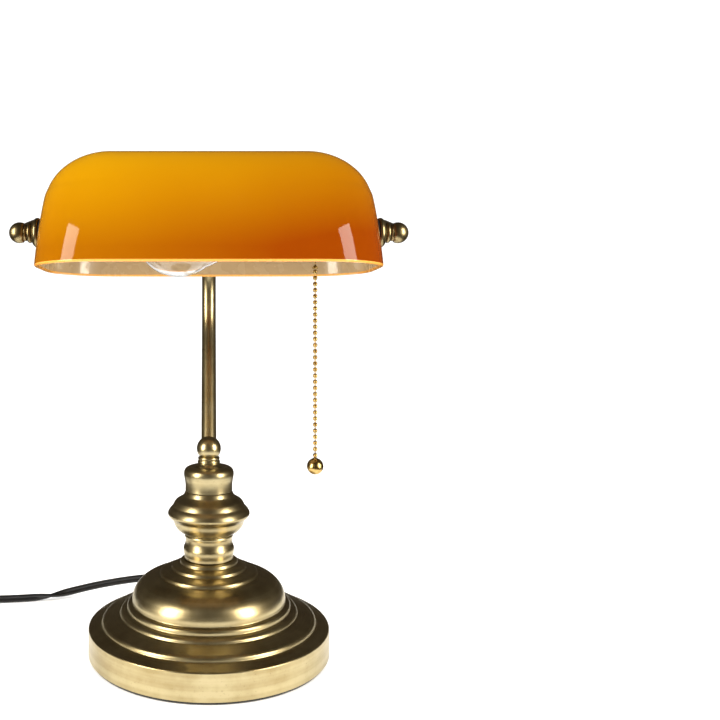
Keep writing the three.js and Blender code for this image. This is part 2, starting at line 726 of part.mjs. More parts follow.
// The plug lies on the coil with its blades along -Y, and the coil's last turn climbs into it.
const PLUG = { x: COIL.x - 36, y: COIL.y - 25, z: 20.9, tail: 27.5 };
const TOP_LAYER_Z = 10.6;
const tailRoute = [];
for (let i = 0; i <= 9; i += 1) {
  const climb = THREE.MathUtils.smoothstep(i, 0, 9);
  const turn = THREE.MathUtils.degToRad(100 + (175 - 100) * (i / 9));
  const z = TOP_LAYER_Z + (PLUG.z - TOP_LAYER_Z) * climb;
  tailRoute.push(v(COIL.x + 36 * Math.cos(turn), COIL.y + 36 * Math.sin(turn), z));
}
const coilRing = turned(ringProfile(COIL.inner, COIL.outer, COIL.low, COIL.high), 30);
part(
  "lead_coil",
  cut(
    join(coilRing.translate(COIL.x, COIL.y, 0), sweptLead(tailRoute, 12)),
    block(26, 8, 10, COIL.x + 24.7, COIL.y + 40, COIL.low + 3.3),
  ),
  BLACK,
);
const TIE_W = 8;
const TIE_Y = COIL.y - (COIL.inner + COIL.outer) / 2;
part(
  "coil_tie",
  cut(
    block(TIE_W, 18, 14.9, COIL.x, TIE_Y, 7.5),
    block(TIE_W + 2, 16.6, 13.9, COIL.x, TIE_Y, 7.45),
  ),
  BLACK,
);

const plug = new THREE.Group();
plug.position.set(PLUG.x, PLUG.y, PLUG.z);
lamp.add(plug);
const plugGrip = turned([[0, 0], [6.3, 0], [4.6, 9], [4, PLUG.tail - 5.5], [0, PLUG.tail - 5.5]], 16);
part(
  "plug_body",
  join(block(22, 22, 13, 0, -5, 0), plugGrip.rotateX(-Math.PI / 2).translate(0, 5.5, 0)),
  BLACK,
  plug,
);
for (const [side, label] of [[-1, "a"], [1, "b"]]) {
  part(`plug_blade_${label}`, block(1.5, 17, 6.3, side * 6.35, -24.8, 0), GOLD, plug);
}

export default lamp;
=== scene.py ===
import math
import bpy
from mathutils import Matrix, Vector


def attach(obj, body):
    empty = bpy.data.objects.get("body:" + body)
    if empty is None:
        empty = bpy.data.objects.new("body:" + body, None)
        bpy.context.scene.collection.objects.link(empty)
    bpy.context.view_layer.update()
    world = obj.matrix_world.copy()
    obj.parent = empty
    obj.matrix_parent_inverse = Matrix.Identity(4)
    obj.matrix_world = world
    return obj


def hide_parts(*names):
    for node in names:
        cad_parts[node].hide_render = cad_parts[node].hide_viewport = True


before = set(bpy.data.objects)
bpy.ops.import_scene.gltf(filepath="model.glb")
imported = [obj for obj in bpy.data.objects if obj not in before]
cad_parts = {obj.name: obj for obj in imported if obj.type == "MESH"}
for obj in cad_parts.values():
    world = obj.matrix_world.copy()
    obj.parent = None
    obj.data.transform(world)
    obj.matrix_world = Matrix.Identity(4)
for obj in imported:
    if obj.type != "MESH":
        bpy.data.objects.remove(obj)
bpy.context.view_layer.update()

# Banker's desk lamp. Lengths in the tables below are millimetres, and MM turns them into metres.
MM = 0.001
scene = bpy.context.scene

# Sizes shared by several pieces
PIVOT = Vector((0, -68.4, 311.6))
PIVOT_BALL_X = 128.3
SHADE_TILT = math.radians(3.8)
CHAIN_X = 72.2
NECK_Z = 152.8
ARM_LEAN = math.radians(33.8)
ARM_STRAIGHT = 98
ARM_BEND_R = 56
ARM_LEVEL = 9
YOKE_BACK_Y = -2.8
EXIT_TURN = math.radians(103)
BASE_R = 90
COIL = Vector((-236, 62, 0))
LEAD_W = 6.4
LEAD_T = 3.0


# ---- Camera ------------------------------------------------------------------------------------

camera_data = bpy.data.cameras.new("camera")
camera_data.lens = 45.2
camera_data.sensor_width = 36
camera_data.shift_x = 0.209
camera_data.shift_y = -0.108
camera = bpy.data.objects.new("camera", camera_data)
camera.location = (0.0005, -0.682, 0.278)
camera.rotation_euler = (math.radians(90), 0, 0)
scene.collection.objects.link(camera)
scene.camera = camera
scene.view_settings.view_transform = "Standard"


# ---- Node materials ----------------------------------------------------------------------------

class Finish:
    """A Principled material, with short calls for the nodes behind it."""

    def __init__(self, name, **sockets):
        self.material = bpy.data.materials.new(name)
        self.material.use_nodes = True
        self.tree = self.material.node_tree
        self.shader = self.tree.nodes["Principled BSDF"]
        for socket, value in sockets.items():
            self.shader.inputs[socket.replace("_", " ")].default_value = value

    def node(self, kind, **settings):
        made = self.tree.nodes.new("ShaderNode" + kind)
        for key, value in settings.items():
            setattr(made, key, value)
        return made

    def feed(self, socket, value):
        if isinstance(value, bpy.types.NodeSocket):
            self.tree.links.new(value, socket)
        else:
            socket.default_value = value

    def place(self):
        return self.node("TexCoord").outputs["Object"]

    def math(self, operation, a, b=0.0):
        made = self.node("Math", operation=operation)
        self.feed(made.inputs[0], a)
        self.feed(made.inputs[1], b)
        return made.outputs[0]

    def vector(self, x, y, z):
        made = self.node("CombineXYZ")
        for socket, value in zip(made.inputs, (x, y, z)):
            self.feed(socket, value)
        return made.outputs[0]

    def noise(self, where, scale, detail=2.0, roughness=0.5):
        made = self.node("TexNoise")
        self.feed(made.inputs["Vector"], where)
        self.feed(made.inputs["Scale"], scale)
        self.feed(made.inputs["Detail"], detail)
        self.feed(made.inputs["Roughness"], roughness)
        return made.outputs["Fac"]

    def spread(self, value, low, high, to_low=0.0, to_high=1.0):
        made = self.node("MapRange")
        for name, number in zip(("Value", "From Min", "From Max", "To Min", "To Max"),
                                (value, low, high, to_low, to_high)):
            self.feed(made.inputs[name], number)
        return made.outputs["Result"]

    def mix(self, factor, a, b, blend="MIX"):
        made = self.node("Mix", data_type="RGBA", blend_type=blend)
        self.feed(made.inputs["Factor"], factor)
        self.feed(made.inputs[6], a)
        self.feed(made.inputs[7], b)
        return made.outputs[2]

    def bump(self, height, strength, distance):
        made = self.node("Bump")
        made.inputs["Strength"].default_value = strength
        made.inputs["Distance"].default_value = distance
        self.feed(made.inputs["Height"], height)
        self.feed(self.shader.inputs["Normal"], made.outputs["Normal"])

    def colour(self, value):
        self.feed(self.shader.inputs["Base Color"], value)

    def roughness(self, value):
        self.feed(self.shader.inputs["Roughness"], value)


def rgb(r, g, b):
    return (r, g, b, 1.0)


def brass(name, light, dark, roughness, lines="z"):
    """Antique brass: brushed in rings about Z or about the tilt axis, patchy, and darker in grooves with
    painted shade, where antique brass also has dark patina.
    """
    finish = Finish(name, Metallic=1.0)
    where = finish.place()
    parts = finish.node("SeparateXYZ")
    finish.feed(parts.inputs[0], where)
    x, y, z = parts.outputs
    if lines == "z":
        radius = finish.math("SQRT", finish.math("ADD", finish.math("MULTIPLY", x, x),
                                                 finish.math("MULTIPLY", y, y)))
        rings = finish.vector(radius, 0.0, z)
    elif lines == "x":
        rings = finish.vector(x, 0.0, 0.0)
    else:
        rings = finish.vector(finish.math("MULTIPLY", x, 0.2), finish.math("MULTIPLY", y, 0.2),
                              finish.math("MULTIPLY", z, 0.2))
    fine = finish.noise(rings, 1800.0, 3.0, 0.7)
    broad = finish.noise(rings, 260.0, 2.0)
    patches = finish.noise(where, 38.0, 4.0, 0.6)
    specks = finish.noise(where, 620.0, 3.0, 0.65)
    worn = finish.math("ADD", finish.math("MULTIPLY", patches, 0.6), finish.math("MULTIPLY", broad, 0.4))
    colour = finish.mix(finish.spread(worn, 0.36, 0.62), rgb(*dark), rgb(*light))
    spots = finish.spread(specks, 0.62, 0.72)
    colour = finish.mix(finish.math("MULTIPLY", spots, 0.35), colour, rgb(*(0.45 * c for c in dark)))
    # Painted shade: an occlusion mask darkens the colour in grooves and hollows, together with the dark
    # patina that antique brass has there.
    hollow = finish.node("AmbientOcclusion", only_local=True, samples=6)
    hollow.inputs["Distance"].default_value = 0.006
    shadow = finish.spread(hollow.outputs["AO"], 0.35, 0.85, 0.75, 0.0)
    finish.colour(finish.mix(shadow, colour, rgb(*(0.16 * c for c in dark))))
    grain = finish.math("ADD", finish.math("MULTIPLY", fine, 0.16), roughness - 0.08)
    finish.roughness(finish.math("ADD", grain, finish.math("MULTIPLY", patches, 0.08)))
    finish.bump(fine, 0.22, 0.00008)
    return finish.material


def plain_metal(name, light, dark, roughness, scale=300.0):
    finish = Finish(name, Metallic=1.0)
    where = finish.place()
    clouds = finish.noise(where, scale, 4.0, 0.6)
    finish.colour(finish.mix(finish.spread(clouds, 0.35, 0.65), rgb(*dark), rgb(*light)))
    finish.roughness(finish.spread(clouds, 0.3, 0.7, roughness - 0.06, roughness + 0.08))
    finish.bump(finish.noise(where, scale * 6, 2.0), 0.12, 0.00005)
    return finish.material


def moulded(name, light, dark, roughness, grain=1600.0, depth=0.00006, sheen=0.0):
    """Moulded plastic, rubber, card or felt: slightly uneven in colour, with a fine surface grain."""
    finish = Finish(name, Metallic=0.0, Sheen_Weight=sheen)
    where = finish.place()
    clouds = finish.noise(where, 120.0, 4.0, 0.6)
    finish.colour(finish.mix(clouds, rgb(*dark), rgb(*light)))
    finish.roughness(finish.spread(clouds, 0.3, 0.7, roughness - 0.05, roughness + 0.07))
    finish.bump(finish.noise(where, grain, 3.0, 0.6), 0.5, depth)
    return finish.material


def amber_glass():
    """Coloured outer layer of the cased glass, with painted light: golden above and to the left, painted
    shade in deep orange below.
    """
    finish = Finish("amber_glass", Metallic=0.0, Specular_IOR_Level=0.2, IOR=1.5)
    where = finish.place()
    parts = finish.node("SeparateXYZ")
    finish.feed(parts.inputs[0], where)
    x, y, z = parts.outputs
    # Painted light: gold where more light falls, above and to the left, and painted shade in deep orange
    # lower down; the noise drift is random tone in the glass.
    across = finish.spread(x, -0.11, 0.09)
    down = finish.spread(z, 0.375, 0.3)
    drift = finish.noise(where, 9.0, 2.0)
    depth = finish.math("ADD", finish.math("MULTIPLY", across, 0.3), finish.math("MULTIPLY", down, 0.55))
    depth = finish.math("ADD", depth, finish.math("MULTIPLY", drift, 0.15))
    golden, painted_shade_orange = rgb(0.4, 0.2, 0.0006), rgb(0.165, 0.027, 0.0002)
    finish.colour(finish.mix(finish.spread(depth, 0.12, 0.85), golden, painted_shade_orange))
    finish.roughness(finish.spread(finish.noise(where, 60.0, 3.0), 0.3, 0.7, 0.03, 0.07))
    finish.bump(finish.noise(where, 26.0, 1.0), 0.05, 0.0004)
    return finish.material


def opal_glass(name, light, dark):
    finish = Finish(name, Metallic=0.0, Coat_Weight=0.6, Coat_Roughness=0.08, IOR=1.5)
    where = finish.place()
    finish.colour(finish.mix(finish.noise(where, 18.0, 3.0), rgb(*dark), rgb(*light)))
    finish.roughness(finish.spread(finish.noise(where, 90.0, 3.0), 0.3, 0.7, 0.22, 0.32))
    return finish.material


def clear_glass():
    finish = Finish("clear_glass", Metallic=0.0, IOR=1.45, Transmission_Weight=1.0)
    where = finish.place()
    finish.colour(finish.mix(finish.noise(where, 30.0, 2.0), rgb(0.96, 0.97, 0.97), rgb(1.0, 1.0, 1.0)))
    finish.roughness(finish.spread(finish.noise(where, 50.0, 2.0), 0.3, 0.7, 0.0, 0.015))
    return finish.material


BRASS = brass("antique_brass", (0.5, 0.425, 0.245), (0.35, 0.275, 0.135), 0.27)
ARM_BRASS = brass("antique_brass_tube", (0.5, 0.425, 0.245), (0.35, 0.275, 0.135), 0.27, "along")
DARK_BRASS = brass("dark_brass", (0.38, 0.31, 0.165), (0.25, 0.19, 0.09), 0.29, "x")
GOLD = plain_metal("golden_brass", (0.62, 0.44, 0.17), (0.46, 0.3, 0.1), 0.24, 500.0)
ZINC = plain_metal("zinc_steel", (0.6, 0.61, 0.62), (0.42, 0.43, 0.44), 0.36)
NICKEL = plain_metal("nickel_steel", (0.7, 0.69, 0.67), (0.55, 0.54, 0.52), 0.22)
IRON = plain_metal("cast_iron", (0.1, 0.1, 0.105), (0.05, 0.05, 0.052), 0.7, 220.0)
PVC = moulded("black_pvc", (0.008, 0.008, 0.0085), (0.003, 0.003, 0.003), 0.4)
RUBBER = moulded("washer_rubber", (0.03, 0.03, 0.03), (0.014, 0.014, 0.014), 0.7)
FELT = moulded("black_felt", (0.02, 0.02, 0.021), (0.005, 0.005, 0.005), 0.95, 2600.0, 0.0004, 0.4)
CARD = moulded("card_liner", (0.46, 0.32, 0.18), (0.32, 0.2, 0.1), 0.88, 900.0)
PHENOLIC = moulded("phenolic", (0.04, 0.022, 0.014), (0.02, 0.01, 0.007), 0.3)
AMBER = amber_glass()
OPAL = opal_glass("opal_glass", (0.41, 0.29, 0.155), (0.36, 0.245, 0.125))
GLASS_EDGE = opal_glass("glass_edge", (0.72, 0.34, 0.06), (0.58, 0.22, 0.025))
CLEAR = clear_glass()


# ---- Shapes ------------------------------------------------------------------------------------

def corners(outline, crisp=0.3, steps=4):
    """Points and unit tangents round a closed outline of (r, h) or (r, h, fillet), corners rounded."""
    points = [Vector(c[:2]) for c in outline]
    area = sum(a.x * b.y - b.x * a.y for a, b in zip(points, points[1:] + points[:1]))
    if area < 0:
        outline = list(reversed(outline))
        points.reverse()
    made = []
    for i, corner in enumerate(points):
        before = points[i - 1] - corner
        after = points[(i + 1) % len(points)] - corner
        on_axis = corner.x < 1e-6
        fillet = 0 if on_axis else (outline[i][2] if len(outline[i]) > 2 else crisp)
        reach = min(fillet, before.length * 0.499, after.length * 0.499)
        if reach < 1e-4:
            flow = -before.normalized() if (on_axis and points[i - 1].x > 1e-6) else after.normalized()
            made.append((corner, flow))
            continue
        enter = corner + before.normalized() * reach
        leave = corner + after.normalized() * reach
        for k in range(steps + 1):
            t = k / steps
            point = enter * (1 - t) ** 2 + corner * (2 * t * (1 - t)) + leave * t ** 2
            made.append((point, ((corner - enter) * (1 - t) + (leave - corner) * t).normalized()))
    return made


def revolve(outline, segments=64, place=Matrix(), crisp=0.3, steps=4):
    """A closed outline turned about Z, then set in its place: (points, faces, normals) in metres."""
    points = corners(outline, crisp, steps)
    verts, normals, rows = [], [], []
    for point, flow in points:
        pole = point.x < 1e-6
        row = []
        for k in range(1 if pole else segments):
            turn = 2 * math.pi * k / segments
            c, s = math.cos(turn), math.sin(turn)
            row.append(len(verts))
            verts.append(place @ (Vector((point.x * c, point.x * s, point.y)) * MM))
            outward = Vector((0, 0, -flow.x)) if pole else Vector((flow.y * c, flow.y * s, -flow.x))
            normals.append((place.to_3x3() @ outward).normalized())
        rows.append(row)
    faces = []
    for a, b in zip(rows, rows[1:] + rows[:1]):
        for k in range(segments):
            m = (k + 1) % segments
            if len(a) > 1 and len(b) > 1:
                faces.append((a[k], a[m], b[m], b[k]))
            elif len(a) > 1:
                faces.append((a[k], a[m], b[0]))
            elif len(b) > 1:
                faces.append((a[0], b[m], b[k]))
    return verts, faces, normals


def along_x(centre=Vector((0, 0, 0))):
    """Puts a piece turned about Z onto a line through a point, along X."""
    return Matrix.Translation(centre * MM) @ Matrix.Rotation(math.pi / 2, 4, "Y")


def ball(radius, height, start=-90, end=90, steps=24):
    """Part of a circle as outline points, from one latitude to another."""
    turns = [math.radians(start + (end - start) * i / steps) for i in range(steps + 1)]
    return [(radius * max(0.0, math.cos(t)), height + radius * math.sin(t), 0) for t in turns]


def round_section(radius, sides=24):
    return [Vector((math.cos(2 * math.pi * k / sides), math.sin(2 * math.pi * k / sides))) * radius
            for k in range(sides)]


def swept(path, section, across=None, ends=True):
    """A closed skin of a section carried along a path of points, in millimetres in and metres out.
    across(i) gives the section's first axis, and without it the section turns as little as it can."""
    verts, faces = [], []
    side = None
    for i, point in enumerate(path):
        flow = (path[min(i + 1, len(path) - 1)] - path[max(i - 1, 0)]).normalized()
        if across:
            side = across(i)
        elif side is None:
            side = flow.orthogonal()
        side = (side - flow * side.dot(flow)).normalized()
        up = flow.cross(side)
        grown = section(i) if callable(section) else section
        verts += [(point + side * p.x + up * p.y) * MM for p in grown]
    count = len(verts) // len(path)
    for i in range(len(path) - 1):
        for k in range(count):
            m = (k + 1) % count
            faces.append((i * count + k, i * count + m, (i + 1) * count + m, (i + 1) * count + k))
    if ends:
        faces.append(tuple(reversed(range(count))))
        faces.append(tuple(range(len(verts) - count, len(verts))))
    return verts, faces, None


def joined(*shapes):
    """Several shapes as one mesh."""
    verts, faces, normals = [], [], []
    for some_verts, some_faces, some_normals in shapes:
        offset = len(verts)
        verts += some_verts
        faces += [tuple(i + offset for i in face) for face in some_faces]
        normals += some_normals or []
    return verts, faces, normals if len(normals) == len(verts) else None


def piece(name, shape, finish, body, slot, *nodes):
    """A visible piece that rides on a body and stands for CAD nodes."""
    verts, faces, normals = shape
    mesh = bpy.data.meshes.new(name)
    mesh.from_pydata(verts, [], faces)
    mesh.shade_smooth()
    if normals:
        mesh.normals_split_custom_set_from_vertices(normals)
    else:
        mesh.set_sharp_from_angle(angle=math.radians(38))
    mesh.materials.append(finish)
    made = bpy.data.objects.new(name, mesh)
    scene.collection.objects.link(made)
    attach(made, body)
    if nodes:
        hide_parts(*nodes)
    return made


def soft(points, fillet=3):
    """Outline points on one smooth curve."""
    return [(r, h, fillet) for r, h in points]


def through(points, step):
    """A smooth curve through the points, as points about one step apart (centripetal Catmull-Rom)."""
    first = points[0] * 2 - points[1]
    last = points[-1] * 2 - points[-2]
    guide = [first, *points, last]
    made = []
    for a, b, c, d in zip(guide, guide[1:], guide[2:], guide[3:]):
        t0 = 0
        t1 = t0 + math.sqrt((b - a).length)
        t2 = t1 + math.sqrt((c - b).length)
        t3 = t2 + math.sqrt((d - c).length)
        count = max(1, round((c - b).length / step))
        for k in range(count):
            t = t1 + (t2 - t1) * k / count
            ab = a * ((t1 - t) / (t1 - t0)) + b * ((t - t0) / (t1 - t0))
            bc = b * ((t2 - t) / (t2 - t1)) + c * ((t - t1) / (t2 - t1))
            cd = c * ((t3 - t) / (t3 - t2)) + d * ((t - t2) / (t3 - t2))
            abc = ab * ((t2 - t) / (t2 - t0)) + bc * ((t - t0) / (t2 - t0))
            bcd = bc * ((t3 - t) / (t3 - t1)) + cd * ((t - t1) / (t3 - t1))
            made.append(abc * ((t2 - t) / (t2 - t1)) + bcd * ((t - t1) / (t2 - t1)))
    made.append(points[-1])
    return made


# ---- Supply lead, coil, tie, strain relief and plug ----------------------------------------------

def relief_point(out, z):
    return Vector(((BASE_R + out) * math.cos(EXIT_TURN), (BASE_R + out) * math.sin(EXIT_TURN), z))


RELIEF_END = 26.3
route = [
    relief_point(RELIEF_END, 11.5), relief_point(RELIEF_END + 7, 11.9), Vector((-32, 129.5, 12.2)),
    Vector((-42, 133, 12.1)), Vector((-54, 133, 11.8)), Vector((-68, 130.5, 11.2)),
    Vector((-82, 127, 10.3)), Vector((-97, 122.6, 9)), Vector((-111, 118.2, 7.3)),
    Vector((-124, 114, 5.4)), Vector((-137, 109.6, 3.9)), Vector((-150, 106.3, 3.4)),
    Vector((-165, 103.6, 3.3)), Vector((-182, 101.9, 3.3)), Vector((-200, 101, 3.5)),
    Vector((-218, 101.6, 4)), Vector((-224, 101.8, 4.1)),
]
LOW_Z = 4.1
HIGH_Z = 10.7
OUTER_TURN_R = 39.7
TURN_PITCH = 3.25
PLUG = Vector((COIL.x - 36, COIL.y - 25, 20.9))
PLUG_TAIL_Y = 27.5


def coil_points():
    """The wound lead: 3.5 turns inwards on the surface, up, and outwards again, then up to the plug."""
    made = []
    down, climb, back, tail = 1260, 60, 1210, 75
    for degrees in range(0, down + climb + back + 1, 6):
        past = degrees - down - climb
        radius = OUTER_TURN_R - TURN_PITCH * min(degrees, down) / 360 + TURN_PITCH * max(0, past) / 360
        share = min(1, max(0, (degrees - down) / climb))
        z = LOW_Z + (HIGH_Z - LOW_Z) * share * share * (3 - 2 * share)
        made.append((90 + degrees, radius, z))
    end_turn, end_r, _ = made[-1]
    for step in range(1, 14):
        share = step / 13
        z = HIGH_Z + (PLUG.z - HIGH_Z) * share * share * (3 - 2 * share)
        made.append((end_turn + tail * share, end_r + (36 - end_r) * share, z))
    return [COIL + Vector((r * math.cos(math.radians(t)), r * math.sin(math.radians(t)), z))
            for t, r, z in made]


tail_end = Vector((PLUG.x, PLUG.y + PLUG_TAIL_Y - 3, PLUG.z))
lead_path = through([*route, *coil_points(), tail_end], 4)

LOBE_R = LEAD_T / 2
LOBE_X = LEAD_W / 2 - LOBE_R
lead_section = []
for side in (1, -1):
    for k in range(13):
        turn = math.radians(-125 + 250 * k / 12 + (0 if side > 0 else 180))
        lead_section.append(Vector((side * LOBE_X + LOBE_R * math.cos(turn), LOBE_R * math.sin(turn))))
    lead_section.append(Vector((0, 0.62 * side)))

TWIST_FROM_X = -112
TWIST_TO_X = -158


def lead_across(i):
    """The lead stands on its edge, and turns over once between two places on its way."""
    share = min(1, max(0, (TWIST_FROM_X - lead_path[i].x) / (TWIST_FROM_X - TWIST_TO_X)))
    turn = math.pi * share * share * (3 - 2 * share)
    flow = lead_path[min(i + 1, len(lead_path) - 1)] - lead_path[max(i - 1, 0)]
    level = flow.cross(Vector((0, 0, 1))).normalized()
    return Vector((0, 0, 1)) * math.cos(turn) + level * math.sin(turn)


lead = piece("lead_flat_twin", swept(lead_path, lead_section, lead_across), PVC, "stand", "black_pvc",
             "lead", "lead_coil")

exit_place = Matrix.Rotation(EXIT_TURN, 4, "Z") @ along_x(Vector((BASE_R, 0, 11.5)))
relief_outline = [(3.4, -4), (7.2, -4), (7.2, -2.5), (5.2, -2.5), (5.2, 0.4), (7.2, 0.5, 0.6),
                  (7.2, 2.2, 0.8), (5.6, 3.4, 0.6)]
for ring in range(6):
    start = 5.2 + ring * 3.3
    slim = 5.5 - ring * 0.17
    relief_outline += [(slim, start, 0.3), (slim - 1.1, start + 0.3, 0.3), (slim - 1.1, start + 1.2, 0.3),
                       (slim - 0.05, start + 1.5, 0.3)]
relief_outline += [(4.4, 26, 0.6), (3.4, 26)]
relief = piece("strain_relief_ribbed", revolve(relief_outline, 48, exit_place), PVC, "stand", "black_pvc",
               "strain_relief")


def plug_section(half_x, half_z, power, sides=40):
    """A rounded rectangle, rounder for a smaller power."""
    made = []
    for k in range(sides):
        turn = 2 * math.pi * k / sides
        c, s = math.cos(turn), math.sin(turn)
        made.append(Vector((half_x * math.copysign(abs(c) ** (2 / power), c),
                            half_z * math.copysign(abs(s) ** (2 / power), s))))
    return made


# (distance behind the plug's face, half width, half height, squareness)
PLUG_BODY = [
    (0.0, 9.6, 5.2, 5), (0.5, 10.5, 6.1, 5), (1.6, 11, 6.5, 5), (9, 11, 6.5, 5), (12, 10.2, 6.2, 4.5),
    (14, 9.2, 5.7, 4), (16.5, 8.8, 5.5, 4), (19, 9.2, 5.8, 3.6), (21, 8.6, 5.8, 3), (22.6, 6.6, 5.2, 2.4),
    (24, 5.6, 4.9, 2.1), (25.4, 5.2, 4.7, 2), (26.2, 4.5, 4.2, 2), (27.2, 4.5, 4.2, 2), (28, 5.0, 4.6, 2),
    (29.4, 4.9, 4.5, 2), (30.2, 4.2, 4, 2), (31.2, 4.2, 4, 2), (32, 4.7, 4.4, 2), (33.4, 4.6, 4.3, 2),
    (34.2, 4, 3.8, 2), (35.2, 4, 3.8, 2), (36, 4.5, 4.2, 2), (37.4, 4.4, 4.1, 2), (38.4, 3.9, 3.8, 2),
    (42.8, 3.8, 3.7, 2), (43.4, 3.4, 3.4, 2),
]
PLUG_FACE_Y = -16
plug_path = [PLUG + Vector((0, PLUG_FACE_Y + back, 0)) for back, *_ in PLUG_BODY]
plug_body = piece("plug_moulded", swept(plug_path, lambda i: plug_section(*PLUG_BODY[i][1:]),
                                        lambda i: Vector((1, 0, 0))),
                  PVC, "stand", "black_pvc", "plug_body")


def blade(x):
    """One flat blade along -Y, with a rounded tip and a hole through it."""
    half_t, half_w, hole_r = 0.75, 3.15, 1.5
    hole_y = -12.5
    steps = 24
    outer, inner = [], []
    for k in range(steps):
        turn = 2 * math.pi * (k + 0.5) / steps
        c, s = math.cos(turn), math.sin(turn)
        reach = min(half_w / max(abs(s), 1e-6), (4.7 if c > 0 else 12.9) / max(abs(c), 1e-6))
        y, z = reach * -c, reach * s
        y = max(y, -4.7 + 1.2 * max(0, abs(z) - 2) / 1.15)
        outer.append((hole_y + y, z))
        inner.append((hole_y - hole_r * c, hole_r * s))
    verts, faces = [], []
    for sx in (-1, 1):
        for ring in (outer, inner):
            verts += [Vector((x + sx * half_t, PLUG_FACE_Y + 0.2 + y, z)) for y, z in ring]
    for k in range(steps):
        m = (k + 1) % steps
        faces.append((k, m, steps + m, steps + k))
        faces.append((3 * steps + k, 3 * steps + m, 2 * steps + m, 2 * steps + k))
        faces.append((m, k, 2 * steps + k, 2 * steps + m))
        faces.append((steps + k, steps + m, 3 * steps + m, 3 * steps + k))
    return [(PLUG + p) * MM for p in verts], faces, None


blades = [piece(f"plug_blade_{label}_brass", blade(side * 6.35), GOLD, "stand", "golden_brass",
                f"plug_blade_{label}")
          for side, label in ((-1, "a"), (1, "b"))]


def tie_band():
    """A flat plastic-covered wire round the coil's bundle, its ends twisted together outside."""
    centre = COIL + Vector((0, -34.2, 7.5))
    loop = []
    for k in range(48):
        turn = 2 * math.pi * k / 48
        c, s = math.cos(turn), math.sin(turn)
        loop.append(centre + Vector((0, 8.2 * math.copysign(abs(c) ** 0.45, c),
                                     6.9 * math.copysign(abs(s) ** 0.45, s))))
    loop.append(loop[0])
    strip = [Vector((x, y)) for x, y in ((-2.2, -0.25), (-2.2, 0.25), (-0.5, 0.25), (0, 0.5), (0.5, 0.25),
                                        (2.2, 0.25), (2.2, -0.25), (0.5, -0.25), (0, -0.5), (-0.5, -0.25))]
    band = swept(loop, strip, lambda i: Vector((1, 0, 0)), ends=False)
    start = centre + Vector((0, -8.4, 2))
    twist = [start + Vector((0.4 * math.sin(k / 3), -0.55 * k * 0.5, 0.5 * k * 0.5)) for k in range(17)]

    def spun(i):
        turn = i * 0.9
        return Vector((math.cos(turn), 0, math.sin(turn)))

    return joined(band, swept(twist, [p * 0.7 for p in strip], spun))


tie = piece("coil_tie_wire", tie_band(), PVC, "stand", "black_pvc", "coil_tie")


# ---- Base and column -----------------------------------------------------------------------------

def dome_arc():
    made = []
    for k in range(25):
        turn = math.radians(-4 + 84 * k / 24)
        made.append((36.5 + 21 * math.cos(turn), 41 + 17.4 * math.sin(turn), 2))
    return made


base_outline = [
    (88.4, 2.3), (90, 2.3, 0.5), (90, 21.3, 0.5), (89.4, 21.9, 0.3), (80.2, 24.4, 0.7), (79.8, 26.6, 1.1),
    (78, 27.9, 1.1), (66.6, 31, 0.6), (66.3, 32.5, 0.8), (64.8, 33.8, 0.9), (61.4, 34.6, 0.5),
    (61.2, 37, 0.8),
    (60.2, 38.2, 0.7), (57.6, 38.9, 0.4), *dome_arc(), (37, 58.7, 0.2), (36.9, 59.8, 0.5), (36.2, 61, 0.7),
    (35, 61.6, 0.6), (32, 62.2, 0.8), (28.2, 63.2, 0.4), (27.7, 65.2, 0.8), (25.3, 66.4, 0.8),
    (21.8, 67.3, 0.4),
    (21.5, 69.1, 0.6), (20.4, 70.2, 0.4), (5.3, 70.2), (5.3, 67.6), (19, 66.4), (34, 57.4), (50, 48),
    (55.6, 37.2), (64.6, 29.4), (78.4, 22.8), (88.4, 20.2),
]
piece("base_shell_turned", revolve(base_outline, 160), BRASS, "stand", "antique_brass", "base_shell")
felt_outline = [(0, 0), (87.9, 0, 0.4), (88.6, 0.7, 0.5), (88.5, 1.6, 0.4), (88, 2, 0.3), (0, 2)]
piece("felt_pad_pressed", revolve(felt_outline, 160), FELT, "stand", "black_felt", "felt_pad")

STEM_OUTLINE = [
    (16.4, 70.6), (18.3, 70.6, 0.4),
    *soft([(18.3, 72.6), (18.8, 74.6), (19.2, 76.8), (19.1, 79), (18, 81.2), (17.6, 83.5), (17.7, 86)]),
    (18.3, 87.2, 0.7), (18.2, 88.4, 0.5), (17.6, 89.2, 0.4), (5.3, 89.2), (5.3, 87.2), (15.6, 87.2),
    (15.8, 82),
]
BELL_OUTLINE = [
    (5.3, 89.6), (18.2, 89.6, 0.2), (19.4, 89.9, 1),
    *soft([(23.2, 92.1), (25.8, 95.6), (26.7, 98.6)]), (27.3, 100, 0.5),
    *soft([(29.4, 101.6), (30.7, 103.4), (30.9, 105), (29.4, 107.8)]), (27.3, 109.8, 0.5), (26.3, 112, 1),
    (25, 114, 1), (21.6, 116, 1.6), (19.2, 117.5, 1.2), (18.4, 119.3, 1), (17.5, 121, 0.4), (5.3, 121),
    (5.3, 119), (16, 119), (19, 114.6), (24, 111.4), (28.6, 105), (25, 100.4), (21.6, 93.4), (18, 91.6),
    (5.3, 91.6),
]
COLLAR_OUTLINE = [
    (15.8, 121.4), (17.7, 121.4, 0.4),
    *soft([(17.6, 125), (17.9, 128.5), (18.5, 131.3), (18.9, 134), (18.6, 136.3), (17.2, 138.3)]),
    (14.5, 139.4, 0.8), (5.3, 139.4), (5.3, 137.4), (14, 137.4), (16.8, 134.6), (16, 128.5),
]
NECK_OUTLINE = [
    (5.3, 139.7), (10.6, 139.7, 0.3), (9.2, 140.8, 0.8), (8.2, 141.8, 0.5), (8.6, 142.6, 0.5),
    (8.3, 143.6, 0.5), (7.7, 144.5, 0.5), (8.3, 145.4, 0.5), (7.9, 146.4, 0.4), (6.9, 146.9, 0.3),
    (5.3, 146.9),
]
